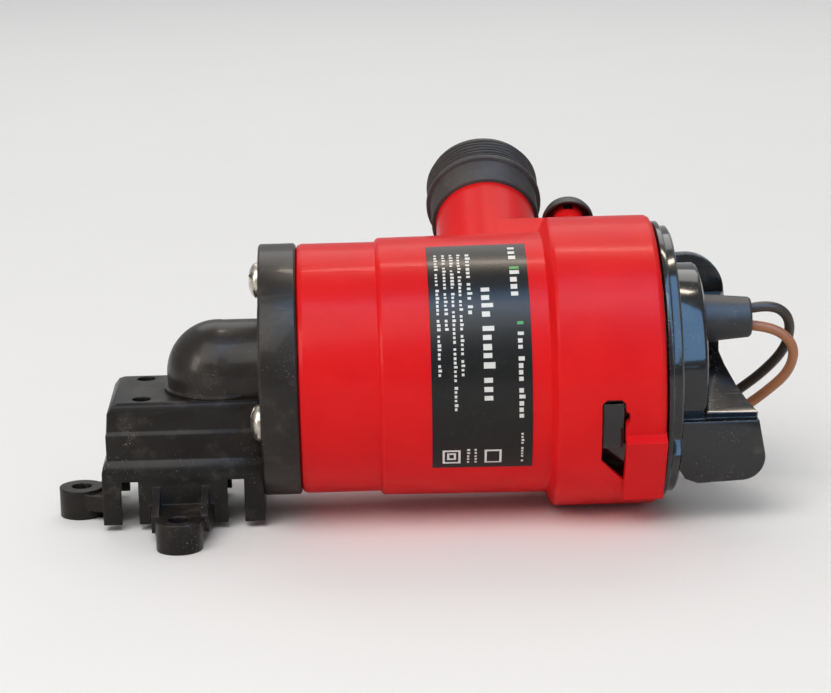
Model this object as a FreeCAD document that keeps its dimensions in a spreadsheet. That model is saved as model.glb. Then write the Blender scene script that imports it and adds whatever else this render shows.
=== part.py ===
import FreeCAD, Part
import math
import os

import Sketcher
from FreeCAD import Placement, Rotation, Vector

# Low cartridge bilge pump, lying on its three mounting lugs.  Millimetres, +X from the strainer
# towards the wire gland, +Z up, Z = 0 on the mounting plane, origin midway between the two side lugs.
# Turned pieces are drawn about the pump axis and then placed on it by axis_x and axis_z.

doc = FreeCAD.newDocument("bilge_pump")

DIMENSIONS = {
    # pump axis in the part's frame
    "axis_x": 19, "axis_z": 33.6,
    # inlet cover and elbow
    "cover_face": 0, "cover_seat": 8.6, "cover_radius": 29.1, "cover_pad_radius": 15.4,
    "elbow_x": -10, "elbow_radius": 12, "elbow_bore": 9.4, "spigot_radius": 11.9,
    "screw_circle": 20.7, "screw_radius": 2, "screw_head_radius": 4, "screw_head_height": 2.4,
    "seal_radius": 16, "seal_cord": 1.3,
    # housing
    "wall_back": 14.3, "front_radius": 28.9, "front_bore": 24, "step_x": 27, "body_radius": 30,
    "body_draft": 0.2, "body_bore": 27.4, "collar_x": 66, "collar_radius": 33.5, "collar_bore": 30.9,
    "collar_step": 70.5, "housing_end": 90.5,
    # discharge port, tangential on the rear upper side
    "port_x": 54.1, "port_tilt": 66, "port_offset": 12, "neck_radius": 11.95, "neck_end": 39.5,
    "neck_bore": 9.8, "port_bore": 9.5, "barrel_radius": 12.9, "barrel_end": 47.2,
    "lip_radius": 13.9, "lip_end": 48.7,
    "thread_radius": 13.6, "thread_root": 12.9, "thread_pitch": 1.17, "port_end": 57.5,
    # vent on the collar, parallel to the port
    "vent_x": 73.4, "vent_offset": 16, "vent_seat": 35.4, "vent_stub": 3.8, "vent_hole": 1.8,
    "vent_cap": 6.2,
    # bayonet: windows, entry channels and lugs
    "window_x": 76, "window_end": 81.3, "window_angle": 105.5, "channel_start": 110.5,
    "channel_sweep": 25, "channel_radius": 32.6, "channel_block": 34.9, "lug_start": 94,
    "lug_sweep": 20, "lug_radius": 32.3, "lug_x": 76.3, "lug_end": 80.9,
    # cartridge cap
    "flange_x": 90.8, "rim_end": 92.4, "flange_end": 94.6, "flange_radius": 32,
    "land_radius": 30.9, "boss_radius": 22.2, "boss_end": 101.3,
    "cap_cavity": 20.3, "ring_radius": 27.1, "wing_tilt": 27, "wing_web": 3.6, "wing_front": 19.2,
    "wing_plate": 3.2, "gland_z": 9.3, "gland_end": 113.6,
    # motor
    "shell_x": 26, "shell_end": 69.9, "shell_radius": 22, "can_radius": 20.1, "can_x": 31,
    "can_end": 70, "can_bore": 18.9, "core_radius": 14.9, "core_x": 38, "core_end": 62,
    "shaft_radius": 2, "shaft_x": 15, "shaft_end": 75.5, "commutator_radius": 5.2,
    "impeller_radius": 16.8, "impeller_x": 15.2, "impeller_end": 24.6,
    # strainer base
    "plate_z": -3.8, "foot_z": -33.6, "skirt_end": -32.1, "slot_top": -22, "skirt_x": -37,
    "skirt_y": 15, "lug_boss": 5.2, "lug_height": 6.8, "lug_step": 2.2, "lug_hole": 2.4,
    "side_lug_y": 29.5, "side_lug_x": -19, "end_lug_x": -43,
    # rating label
    "label_x": 38.3, "label_end": 60.8, "label_start": 13, "label_sweep": 114, "label_skin": 0.15,
    # supply wires
    "wire": 2.4, "wire_tip": 1.6, "tip_length": 8, "tie_skin": 0.5, "tie_width": 3,
    "coil_pitch": 2.5, "coil_mid_radius": 14.4, "coil_layers": 4, "coil_columns": 2,
}

sheet = doc.addObject("Spreadsheet::Sheet", "Dims")
for row, (alias, value) in enumerate(DIMENSIONS.items(), start=1):
    sheet.set(f"A{row}", alias)
    sheet.set(f"B{row}", str(value))
    sheet.setAlias(f"B{row}", alias)
doc.recompute()

NODES = {}


def expression(value):
    """Text for setExpression, where every known alias is read from the sheet."""
    text = str(value)
    words = []
    word = ""
    for letter in text + " ":
        if letter.isalpha() or letter == "_":
            word += letter
            continue
        words.append(f"Dims.{word}" if word in DIMENSIONS else word)
        word = ""
        words.append(letter)
    return "".join(words).strip()


def value_of(text):
    return float(sheet.evalExpression(expression(text)))


def bind(item, **settings):
    """Bind properties to expressions; a double underscore stands for a dot."""
    for path, text in settings.items():
        item.setExpression(path.replace("__", "."), expression(text))


def keep(item, name):
    """Register a finished sub-part under its node name."""
    item.Label = name
    NODES[name] = item
    return item


def on_axis(item):
    """Put a piece that is drawn about the pump axis where the axis is."""
    bind(item, Placement__Base__x="axis_x", Placement__Base__z="axis_z")
    return item


def new_body(name):
    return keep(on_axis(doc.addObject("PartDesign::Body", name)), name)


def plane(body, role):
    return next(item for item in body.Origin.OriginFeatures if item.Role == role)


def new_sketch(body, name, role, turn=None, base=None):
    """A sketch on one of the body's own origin planes, turned about a local axis and shifted."""
    sketch = body.newObject("Sketcher::SketchObject", name)
    sketch.AttachmentSupport = [(plane(body, role), "")]
    sketch.MapMode = "FlatFace"
    if turn:
        axis, angle = turn
        sketch.AttachmentOffset = Placement(Vector(), Rotation(axis, value_of(angle)))
        bind(sketch, AttachmentOffset__Rotation__Angle=angle)
    for letter, text in zip("xyz", base or ()):
        if text != 0:
            sketch.setExpression(f"AttachmentOffset.Base.{letter}", expression(text))
    return sketch


def place_point(sketch, geometry, point, spot):
    """Hold one point of the sketch by its two distances from the origin."""
    for kind, axis, text in (("DistanceX", -2, spot[0]), ("DistanceY", -1, spot[1])):
        number = value_of(text)
        if abs(number) < 1e-9:
            sketch.addConstraint(Sketcher.Constraint("PointOnObject", geometry, point, axis))
            continue
        index = sketch.addConstraint(Sketcher.Constraint(kind, -1, 1, geometry, point, number))
        sketch.setExpression(f"Constraints[{index}]", expression(text))


def polygon(sketch, corners):
    """A closed outline whose corners are all bound to expressions."""
    spots = [Vector(value_of(across), value_of(up), 0) for across, up in corners]
    first = sketch.GeometryCount
    count = len(spots)
    for index, spot in enumerate(spots):
        sketch.addGeometry(Part.LineSegment(spot, spots[(index + 1) % count]))
    for index in range(count):
        following = first + (index + 1) % count
        sketch.addConstraint(Sketcher.Constraint("Coincident", first + index, 2, following, 1))
    for index, corner in enumerate(corners):
        place_point(sketch, first + index, 1, corner)
    return sketch


def circle(sketch, centre, radius):
    middle = Vector(value_of(centre[0]), value_of(centre[1]), 0)
    index = sketch.addGeometry(Part.Circle(middle, Vector(0, 0, 1), value_of(radius)))
    place_point(sketch, index, 3, centre)
    held = sketch.addConstraint(Sketcher.Constraint("Radius", index, value_of(radius)))
    sketch.setExpression(f"Constraints[{held}]", expression(radius))
    return sketch


def feature(body, kind, sketch, **settings):
    """A PartDesign feature on a sketch; a cut that removes nothing is an error."""
    cutting = kind in ("Pocket", "Groove")
    before = body.Shape.Volume if cutting else 0
    item = body.newObject(f"PartDesign::{kind}", f"{sketch.Name}_{kind.lower()}")
    item.Profile = sketch
    for path, setting in settings.items():
        if isinstance(setting, str) and path in ("Length", "Angle"):
            item.setExpression(path, expression(setting))
        else:
            setattr(item, path, setting)
    sketch.Visibility = False
    doc.recompute()
    if cutting and body.Shape.Volume > before - 0.01:
        raise ValueError(f"{item.Name} cuts nothing")
    if not body.Shape.isValid():
        raise ValueError(f"{item.Name} leaves an invalid solid")
    return item


def revolve(body, sketch, axis="H_Axis", kind="Revolution", sweep=360):
    return feature(body, kind, sketch, ReferenceAxis=(sketch, [axis]), Angle=str(sweep))


def turned(name, corners):
    """A solid of revolution about the pump axis, from (along, radius) corners."""
    body = new_body(name)
    revolve(body, polygon(new_sketch(body, f"{name}_section", "XZ_Plane"), corners))
    return body


def rectangle(left, right, low, high):
    return [(left, low), (right, low), (right, high), (left, high)]


def around(angle):
    """Turn of a sketch plane about the pump axis, counted from the top towards the near side."""
    return Vector(1, 0, 0), angle


def polar(radius, angle):
    """Sketch spot on a plane across the pump axis, for an angle counted like around()."""
    return f"-({radius})*sin({angle})", f"({radius})*cos({angle})"


def ball(body, name, kind, radius):
    """A sphere at the elbow's corner, added to or taken from the body."""
    item = body.newObject(f"PartDesign::{kind}Sphere", name)
    bind(item, Radius=radius, Placement__Base__x="elbow_x")
    doc.recompute()


def round_corner(body, name, spot, radius):
    """Fillet the edge that stands straight across the body at an (along, up) spot."""
    solid = body.Tip
    for index, edge in enumerate(solid.Shape.Edges, start=1):
        ends = [edge.Vertexes[0].Point, edge.Vertexes[-1].Point]
        if all(math.hypot(point.x - spot[0], point.z - spot[1]) < 0.01 for point in ends):
            item = body.newObject("PartDesign::Fillet", name)
            item.Base = (solid, [f"Edge{index}"])
            item.Radius = radius
            doc.recompute()
            return
    raise ValueError(f"{name} finds no edge")


SCREW_ANGLES = [-8.4, 111.6, 231.6]


def make_inlet_cover():
    """Flange that closes the pump chamber, with the elbow that comes up out of the strainer."""
    body = turned("inlet_cover", [
        ("elbow_x", 0), ("elbow_x", "elbow_radius-0.1"), ("cover_face-0.6", "elbow_radius-0.1"),
        ("cover_face-0.6", "cover_pad_radius"), ("cover_face", "cover_pad_radius"),
        ("cover_face", "cover_radius-0.4"), ("cover_face+0.4", "cover_radius"),
        ("cover_seat-0.5", "cover_radius"), ("cover_seat", "cover_radius-0.5"),
        ("cover_seat", "spigot_radius"), ("wall_back-1", "spigot_radius"), ("wall_back-1", 0)])
    ball(body, "elbow_dome", "Additive", "elbow_radius")
    leg = circle(new_sketch(body, "elbow_leg", "XY_Plane"), ("elbow_x", 0), "elbow_radius-0.1")
    feature(body, "Pad", leg, Length="-plate_z", Reversed=True)
    lip = circle(new_sketch(body, "elbow_lip", "XY_Plane", base=(0, 0, "plate_z")),
                 ("elbow_x", 0), "elbow_radius+0.7")
    feature(body, "Pad", lip, Length="0.7")
    spout = circle(new_sketch(body, "elbow_spout", "XY_Plane", base=(0, 0, "plate_z")),
                   ("elbow_x", 0), "elbow_bore+1.1")
    feature(body, "Pad", spout, Length="4", Reversed=True)
    ball(body, "elbow_hollow", "Subtractive", "elbow_bore")
    down = circle(new_sketch(body, "bore_down", "XY_Plane", base=(0, 0, -2)),
                  ("elbow_x", 0), "elbow_bore-0.05")
    feature(body, "Pocket", down, Length="12")
    along = rectangle("elbow_x", "wall_back", 0, "elbow_bore-0.2")
    revolve(body, polygon(new_sketch(body, "bore_along", "XZ_Plane"), along), kind="Groove")
    ring = rectangle("cover_seat-2*seal_cord", "cover_seat+0.1",
                     "seal_radius-seal_cord", "seal_radius+seal_cord")
    revolve(body, polygon(new_sketch(body, "seal_groove", "XZ_Plane"), ring), kind="Groove")
    for index, angle in enumerate(SCREW_ANGLES):
        hole = circle(new_sketch(body, f"cover_hole_{index}", "YZ_Plane"),
                      polar("screw_circle", angle), "screw_radius+0.2")
        feature(body, "Pocket", hole, Length="cover_seat+1", Reversed=True)
    return body


def make_strainer_base():
    """Open-bottomed strainer box with slotted skirts and three mounting lugs."""
    body = new_body("strainer_base")
    levels = [("plate_z", "skirt_x+4.3", 12.6), ("plate_z-0.6", "skirt_x+2.9", 13.5),
              ("plate_z-2.2", "skirt_x+1.7", 14), ("plate_z-6.4", "skirt_x+1.4", 14),
              ("plate_z-7.4", "skirt_x+1.2", 14.6), ("plate_z-8.4", "skirt_x+1.2", 14.4),
              ("plate_z-13.4", "skirt_x+1.2", 13.6), ("plate_z-14.6", "skirt_x+0.3", 14.6),
              ("plate_z-16.2", "skirt_x", "skirt_y"), ("skirt_end", "skirt_x", "skirt_y")]
    sections = []
    for index, (height, left, half) in enumerate(levels):
        sketch = new_sketch(body, f"level_{index}", "XY_Plane", base=(0, 0, height))
        sections.append(polygon(sketch, rectangle(left, "cover_face-0.05", f"-({half})", half)))
    doc.recompute()
    loft = body.newObject("PartDesign::AdditiveLoft", "strainer_walls")
    loft.Profile = sections[0]
    loft.Sections = sections[1:]
    loft.Ruled = True
    doc.recompute()
    foot = (0, 0, "foot_z")
    lugs = [("front", -90, "side_lug_x", "side_lug_y", 14, "foot_z+10.8"),
            ("rear", 90, "side_lug_x", "side_lug_y", 14, "foot_z+10.8"),
            ("end", 180, 0, "-end_lug_x", "-skirt_x-1", "foot_z+13.4")]
    rib_side = 5.6
    for side, heading, shift, reach, root, rib_top in lugs:
        turn = (Vector(0, 0, 1), heading)
        web = polygon(new_sketch(body, f"{side}_web", "XY_Plane", turn, (shift, 0, "foot_z+lug_step")), [
            (root, -7.6), (f"({reach})-1", "-lug_boss+0.1"), (f"({reach})-1", "lug_boss-0.1"),
            (root, 7.6)])
        feature(body, "Pad", web, Length="lug_height-lug_step-0.8")
        boss = circle(new_sketch(body, f"{side}_boss", "XY_Plane", turn, (shift, 0, "foot_z")),
                      (reach, 0), "lug_boss")
        feature(body, "Pad", boss, Length="lug_height")
        for flank in (-1, 1):
            if side == "end":
                place = (0, 0, rib_side * flank)
            else:
                place = (f"{shift}+{rib_side * flank}", 0, 0)
            rib = new_sketch(body, f"{side}_rib_{flank + 1}", "XZ_Plane",
                             (Vector(0, 1, 0), heading), place)
            polygon(rib, [(root, "foot_z+lug_step"), (f"({reach})-5", "foot_z+lug_step"),
                          (f"({reach})-5", "foot_z+lug_height-0.6"), (root, rib_top)])
            feature(body, "Pad", rib, Length="1.8", Midplane=True)
    upper = new_sketch(body, "hollow_upper", "XY_Plane", base=foot)
    polygon(upper, rectangle("skirt_x+6", "cover_face-2.2", -11.2, 11.2))
    feature(body, "Pocket", upper, Length="plate_z-foot_z-2.2", Reversed=True)
    lower = new_sketch(body, "hollow_lower", "XY_Plane", base=foot)
    polygon(lower, rectangle("skirt_x+2.2", "cover_face-2.2", "-skirt_y+2.2", "skirt_y-2.2"))
    feature(body, "Pocket", lower, Length="13", Reversed=True)
    inlet = circle(new_sketch(body, "inlet_hole", "XY_Plane", base=(0, 0, "plate_z")),
                   ("elbow_x", 0), "elbow_radius-0.5")
    feature(body, "Pocket", inlet, Length="3")
    saddle = circle(new_sketch(body, "elbow_relief", "YZ_Plane", base=(0, 0, "elbow_x")), (0, 0),
                    "elbow_radius-0.05")
    feature(body, "Pocket", saddle, Length="-elbow_x+1", Reversed=True)
    for index, flank in enumerate((-1, 1)):
        hole = circle(new_sketch(body, f"top_hole_{index}", "XY_Plane", base=(0, 0, "plate_z")),
                      ("skirt_x+9.5", 9.6 * flank), 2.15)
        feature(body, "Pocket", hole, Length="3")
    for index, (left, right) in enumerate((("skirt_x+4.2", "skirt_x+8.2"), (-8.5, -4.6))):
        slot = new_sketch(body, f"skirt_slot_{index}", "XZ_Plane")
        polygon(slot, rectangle(left, right, "foot_z-1", "slot_top"))
        feature(body, "Pocket", slot, Length="40", Midplane=True)
    for index, flank in enumerate((-1, 1)):
        slot = new_sketch(body, f"end_slot_{index}", "YZ_Plane", base=(0, 0, "skirt_x-1"))
        middle = 10.2 * flank
        polygon(slot, rectangle(f"{middle}-1.6", f"{middle}+1.6", "foot_z-1", "slot_top"))
        feature(body, "Pocket", slot, Length="4", Reversed=True)
    for side, heading, shift, reach, _, _ in lugs:
        hole = circle(new_sketch(body, f"{side}_hole", "XY_Plane", (Vector(0, 0, 1), heading),
                                 (shift, 0, "foot_z")), (reach, 0), "lug_hole")
        feature(body, "Pocket", hole, Length="lug_height+4", Reversed=True)
    pad = circle(new_sketch(body, "pad_relief", "YZ_Plane", base=(0, 0, "cover_face-0.65")), (0, 0),
                 "cover_pad_radius+0.05")
    feature(body, "Pocket", pad, Length="1", Reversed=True)
    relief = new_sketch(body, "screw_relief", "YZ_Plane", base=(0, 0, "cover_face-3"))
    polygon(relief, rectangle(11.6, "skirt_y+1", -17.4, -8.2))
    feature(body, "Pocket", relief, Length="4", Reversed=True)
    return body


def make_housing():
    """Red pump body: chamber, barrel, bayonet collar, discharge neck and vent stub."""
    body = turned("pump_housing", [
        ("cover_seat", 0), ("cover_seat", "front_radius-1.2"), ("cover_seat+0.4", "front_radius-0.4"),
        ("cover_seat+1.3", "front_radius"), ("step_x-0.3", "front_radius"),
        ("step_x+0.1", "body_radius-body_draft-0.3"), ("step_x+0.7", "body_radius-body_draft"),
        ("collar_x-1", "body_radius+body_draft"), ("collar_x", "collar_radius-1"),
        ("collar_x+0.4", "collar_radius-0.3"), ("collar_x+1.1", "collar_radius"),
        ("housing_end-1.2", "collar_radius"), ("housing_end-0.4", "collar_radius-0.4"),
        ("housing_end", "collar_radius-1.2"), ("housing_end", 0)])
    tilt = (Vector(1, 0, 0), "-port_tilt")
    seat = (0, "13*sin(port_tilt)", "13*cos(port_tilt)")
    neck = circle(new_sketch(body, "neck", "XY_Plane", tilt, seat),
                  ("port_x", "-port_offset"), "neck_radius")
    feature(body, "Pad", neck, Length="neck_end-13")
    saddle = polygon(new_sketch(body, "neck_saddle", "XY_Plane", tilt, seat), rectangle(
        "port_x", "collar_x+1", "-port_offset-neck_radius+0.1", "-2"))
    feature(body, "Pad", saddle, Length="11.2")
    face = (0, "(neck_end-0.1)*sin(port_tilt)", "(neck_end-0.1)*cos(port_tilt)")
    spigot = circle(new_sketch(body, "neck_spigot", "XY_Plane", tilt, face),
                    ("port_x", "-port_offset"), "port_bore+1.4")
    feature(body, "Pad", spigot, Length="6.4")
    stub = circle(new_sketch(body, "vent_stub", "XY_Plane", tilt, seat),
                  ("vent_x", "-vent_offset"), "vent_stub")
    feature(body, "Pad", stub, Length="vent_seat-13")
    middle = "channel_start+channel_sweep/2"
    for index, half_turn in enumerate((0, 180)):
        spot = f"{middle}+{half_turn}"
        block = new_sketch(body, f"channel_block_{index}", "XY_Plane", around(spot),
                           (0, f"-27*sin({spot})", f"27*cos({spot})"))
        polygon(block, rectangle("window_end", "housing_end", -9.4, 9.4))
        feature(body, "Pad", block, Length="channel_block-27")
    cavity = polygon(new_sketch(body, "cavity", "XZ_Plane"), [
        ("cover_seat-1", 0), ("cover_seat-1", "spigot_radius+0.1"),
        ("wall_back", "spigot_radius+0.1"), ("wall_back", "front_bore"), ("step_x", "front_bore"),
        ("step_x", "body_bore"), ("collar_step", "body_bore"), ("collar_step", "collar_bore"),
        ("housing_end+1", "collar_bore"), ("housing_end+1", 0)])
    revolve(body, cavity, kind="Groove")
    for index, angle in enumerate(SCREW_ANGLES):
        post = circle(new_sketch(body, f"screw_post_{index}", "YZ_Plane",
                                 base=(0, 0, "wall_back-0.5")), polar("screw_circle", angle), 3.6)
        feature(body, "Pad", post, Length="8")
        hole = circle(new_sketch(body, f"screw_hole_{index}", "YZ_Plane",
                                 base=(0, 0, "cover_seat-1")), polar("screw_circle", angle),
                      "screw_radius")
        feature(body, "Pocket", hole, Length="11", Reversed=True)
    for index, half_turn in enumerate((0, 180)):
        spot = f"window_angle+{half_turn}"
        window = new_sketch(body, f"window_{index}", "XY_Plane", around(spot),
                            (0, f"-28*sin({spot})", f"28*cos({spot})"))
        polygon(window, [("window_x", 6.9), ("window_x+1", 7.9), ("window_end-1", 7.9),
                         ("window_end", 6.9), ("window_end", 5.2), ("window_end+0.9", 4.6),
                         ("window_end+0.9", 2.6), ("window_end", 1.6), ("window_end", -14.2),
                         ("window_x", -7.6)])
        feature(body, "Pocket", window, Length="12", Reversed=True)
        channel = new_sketch(body, f"channel_{index}", "XZ_Plane",
                             around(f"channel_start+{half_turn}"))
        polygon(channel, rectangle("window_x", "housing_end+1", "collar_bore-2", "channel_radius"))
        revolve(body, channel, kind="Groove", sweep="channel_sweep")
    bore = circle(new_sketch(body, "port_bore", "XY_Plane", tilt, seat),
                  ("port_x", "-port_offset"), "neck_bore")
    feature(body, "Pocket", bore, Length="40", Reversed=True)
    hole = circle(new_sketch(body, "vent_hole", "XY_Plane", tilt, seat),
                  ("vent_x", "-vent_offset"), "vent_hole")
    feature(body, "Pocket", hole, Length="30", Reversed=True)
    crown = (0, "(vent_seat-2)*sin(port_tilt)", "(vent_seat-2)*cos(port_tilt)")
    for index, (wide, long) in enumerate(((5, 1.1), (1.1, 5))):
        notch = new_sketch(body, f"vent_notch_{index}", "XY_Plane", tilt, crown)
        polygon(notch, rectangle(f"vent_x-{wide}", f"vent_x+{wide}",
                                 f"-vent_offset-{long}", f"-vent_offset+{long}"))
        feature(body, "Pocket", notch, Length="5", Reversed=True)
    return body


def lean_back(body, tilt, across, offset):
    """Stand a piece that is turned about its own Z on a line that leans back from the vertical."""
    body.Placement = Placement(Vector(), Rotation(Vector(1, 0, 0), -DIMENSIONS[tilt]))
    bind(body, Placement__Rotation__Angle=f"-{tilt}",
         Placement__Base__x=f"axis_x+{across}", Placement__Base__y=f"-({offset})*cos({tilt})",
         Placement__Base__z=f"axis_z+({offset})*sin({tilt})")
    return body


def upright(name, corners):
    """A solid of revolution about its own Z, from (radius, height) corners."""
    body = keep(doc.addObject("PartDesign::Body", name), name)
    revolve(body, polygon(new_sketch(body, f"{name}_section", "XZ_Plane"), corners), axis="V_Axis")
    return body


def make_discharge_port():
    """Black threaded hose connection that is welded over the red neck."""
    corners = [("port_bore", "port_end"), ("port_bore", "neck_end+6.6"),
               ("port_bore+1.45", "neck_end+6.6"), ("port_bore+1.45", "neck_end"),
               ("barrel_radius", "neck_end"), ("barrel_radius", "barrel_end"),
               ("lip_radius-0.3", "barrel_end"), ("lip_radius", "barrel_end+0.3"),
               ("lip_radius", "lip_end-0.3"), ("lip_radius-0.3", "lip_end"),
               ("thread_root", "lip_end")]
    for turn in range(6):
        low = f"lip_end+0.4+{turn}*thread_pitch"
        corners += [("thread_root", low), ("thread_radius", f"{low}+0.45"),
                    ("thread_radius", f"{low}+0.6"), ("thread_root", f"{low}+1.05")]
    corners += [("thread_root", "port_end-0.8"), ("thread_root-0.6", "port_end")]
    return lean_back(upright("discharge_port", corners), "port_tilt", "port_x", "port_offset")


def make_vent_valve():
    """Rubber umbrella valve: hollow dome over the stub, its stem through the hole."""
    corners = [(0, "vent_seat-8"), ("vent_hole-0.9", "vent_seat-8"),
               ("vent_hole-0.1", "vent_seat-6.8"), ("vent_hole-0.1", "vent_seat"),
               ("vent_cap-1.8", "vent_seat"), ("vent_cap-0.9", "vent_seat-0.8"),
               ("vent_cap-0.6", "vent_seat-2.4"), ("vent_cap", "vent_seat-2.4"),
               ("vent_cap-0.1", "vent_seat-0.8"), ("vent_cap-0.7", "vent_seat+0.7"),
               ("vent_cap-2", "vent_seat+2"), ("vent_cap-4", "vent_seat+2.8"),
               (0, "vent_seat+3.1")]
    return lean_back(upright("vent_valve", corners), "port_tilt", "vent_x", "vent_offset")


def make_rating_label():
    """Thin printed wrap on the barrel, near side."""
    body = new_body("rating_label")
    sketch = new_sketch(body, "label_section", "XZ_Plane", around("label_start"))

    def barrel(place):
        slope = f"2*body_draft*(({place})-step_x-0.7)/(collar_x-1-step_x-0.7)"
        return f"body_radius-body_draft+{slope}"

    polygon(sketch, [("label_x", barrel("label_x")), ("label_end", barrel("label_end")),
                     ("label_end", f"{barrel('label_end')}+label_skin"),
                     ("label_x", f"{barrel('label_x')}+label_skin")])
    revolve(body, sketch, sweep="label_sweep")
    return body


def make_screws():
    """Three slotted pan-head screws through the cover into the housing."""
    shafts = []
    for index, angle in enumerate(SCREW_ANGLES):
        head = doc.addObject("Part::Cylinder", f"screw_head_{index}")
        bind(head, Radius="screw_head_radius", Height="screw_head_height")
        shank = doc.addObject("Part::Cylinder", f"screw_shank_{index}")
        bind(shank, Radius="screw_radius-0.02", Height="cover_seat+7",
             Placement__Base__z="screw_head_height")
        rounded = doc.addObject("Part::Fillet", f"screw_round_{index}")
        rounded.Base = head
        doc.recompute()
        low = min(range(len(head.Shape.Edges)), key=lambda n: head.Shape.Edges[n].BoundBox.ZMax)
        rounded.Edges = [(low + 1, 1.1, 1.1)]
        screw = doc.addObject("Part::Fuse", f"screw_solid_{index}")
        screw.Base = rounded
        screw.Tool = shank
        slot = doc.addObject("Part::Box", f"screw_slot_{index}")
        bind(slot, Length="1", Width="2*screw_head_radius+1", Height="0.9",
             Placement__Base__x="-0.5", Placement__Base__y="-screw_head_radius-0.5",
             Placement__Base__z="-0.1")
        slotted = doc.addObject("Part::Cut", f"screw_{index}")
        slotted.Base = screw
        slotted.Tool = slot
        across, up = (value_of(text) for text in polar("screw_circle", angle))
        slotted.Placement = Placement(Vector(0, across, up), Rotation(Vector(0, 1, 0), 90))
        bind(slotted, Placement__Base__x="cover_face-screw_head_height",
             Placement__Base__y=f"-screw_circle*sin({angle})",
             Placement__Base__z=f"screw_circle*cos({angle})")
        shafts.append(slotted)
    group = doc.addObject("Part::Compound", "cover_screws")
    group.Links = shafts
    return keep(on_axis(group), "cover_screws")


def make_ring(name, along, radius, cord):
    """An O-ring about the pump axis."""
    ring = doc.addObject("Part::Torus", name)
    ring.Placement = Placement(Vector(), Rotation(Vector(0, 1, 0), 90))
    bind(ring, Radius1=radius, Radius2=cord, Placement__Base__x=f"axis_x+{along}",
         Placement__Base__z="axis_z")
    return keep(ring, name)


def make_cartridge_cap():
    """Twist-off rear cap: seal land, bayonet skirt, flange, boss and the two finger wings."""
    body = turned("cartridge_cap", [
        ("collar_step-6", "shell_radius+0.05"), ("collar_step-6", "ring_radius"),
        ("collar_step-4.5", "ring_radius"), ("collar_step-4.5", "ring_radius-1.9"),
        ("collar_step-1.7", "ring_radius-1.9"), ("collar_step-1.7", "ring_radius"),
        ("collar_step-0.2", "ring_radius"), ("collar_step-0.2", "shell_radius+0.8"),
        ("flange_x-2.8", "shell_radius+0.8"), ("flange_x-2.8", "collar_bore-2.7"),
        ("collar_step+3", "collar_bore-2.7"), ("collar_step+3", "collar_bore-0.3"),
        ("flange_x", "collar_bore-0.3"), ("flange_x", "flange_radius-0.5"),
        ("flange_x+0.4", "flange_radius"), ("rim_end-0.3", "flange_radius"),
        ("rim_end", "flange_radius-0.4"), ("rim_end", "boss_radius"),
        ("boss_end-1.2", "boss_radius"),
        ("boss_end-0.4", "boss_radius-0.4"), ("boss_end", "boss_radius-1.2"), ("boss_end", 0),
        ("boss_end-2.7", 0), ("boss_end-2.7", "cap_cavity"), ("shell_end+0.1", "cap_cavity"),
        ("shell_end+0.1", "shell_radius+0.05")])
    for index, half_turn in enumerate((0, 180)):
        land = new_sketch(body, f"flange_land_{index}", "XZ_Plane",
                          around(f"90+wing_tilt+4.5+{half_turn}"))
        polygon(land, [("rim_end-0.5", "boss_radius-1"), ("rim_end-0.5", "land_radius"),
                       ("flange_end-0.5", "land_radius"), ("flange_end", "land_radius-0.6"),
                       ("flange_end", "boss_radius-1")])
        revolve(body, land, sweep="171")
        lug = new_sketch(body, f"bayonet_lug_{index}", "XZ_Plane", around(f"lug_start+{half_turn}"))
        polygon(lug, rectangle("lug_x", "lug_end", "collar_bore-1", "lug_radius"))
        revolve(body, lug, sweep="lug_sweep")
    web = new_sketch(body, "wing_web", "XY_Plane", around("wing_tilt"))
    polygon(web, [("rim_end-0.5", -21.6), (112.6, -21.6), (110.8, -18), (108.8, -12.3), (107, -5),
                  (106.2, 0), (106.8, 5), (108.6, 12.3), (109.6, 18), (110, 21.6),
                  ("rim_end-0.5", 21.6)])
    feature(body, "Pad", web, Length="wing_web", Midplane=True)
    front = new_sketch(body, "wing_front", "XZ_Plane", base=(0, 0, "wing_front"))
    polygon(front, [("rim_end-0.5", -9.6), (112.6, -9.6), (115, -23.2), (98.6, -24),
                    (95.8, -22.9), (94.3, -20.6), ("rim_end-0.5", -17)])
    feature(body, "Pad", front, Length="wing_plate")
    rear = new_sketch(body, "wing_rear", "XZ_Plane", base=(0, 0, "-wing_front-wing_plate"))
    polygon(rear, [("rim_end-0.5", 9.2), (110, 9.2), (110.2, 20.9), ("rim_end-0.5", 20.3)])
    feature(body, "Pad", rear, Length="wing_plate")
    round_corner(body, "wing_corner_low", (115, -23.2), 5.4)
    round_corner(body, "wing_corner_top", (110.2, 20.9), 9)
    hole = circle(new_sketch(body, "gland_hole", "YZ_Plane", base=(0, 0, "boss_end-4")),
                  (0, "gland_z"), 4.6)
    feature(body, "Pocket", hole, Length="6", Reversed=True)
    return body


def make_wire_gland():
    """Tapered rubber gland with a grooved neck and two wire holes."""
    body = keep(doc.addObject("PartDesign::Body", "wire_gland"), "wire_gland")
    section = polygon(new_sketch(body, "gland_section", "XZ_Plane"), [
        ("boss_end-4.6", 0), ("boss_end-4.6", 5.6), ("boss_end-2.75", 6), ("boss_end-2.75", 4.55),
        ("boss_end", 4.55), ("boss_end", 5.7), ("gland_end-0.5", 4.7), ("gland_end", 4.3),
        ("gland_end", 0)])
    revolve(body, section)
    for index, flank in enumerate((-1, 1)):
        hole = circle(new_sketch(body, f"gland_wire_{index}", "YZ_Plane",
                                 base=(0, 0, "boss_end-5")), (0, 2.05 * flank), "wire/2")
        feature(body, "Pocket", hole, Length="20", Reversed=True)
    bind(body, Placement__Base__x="axis_x", Placement__Base__z="axis_z+gland_z")
    return body


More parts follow.
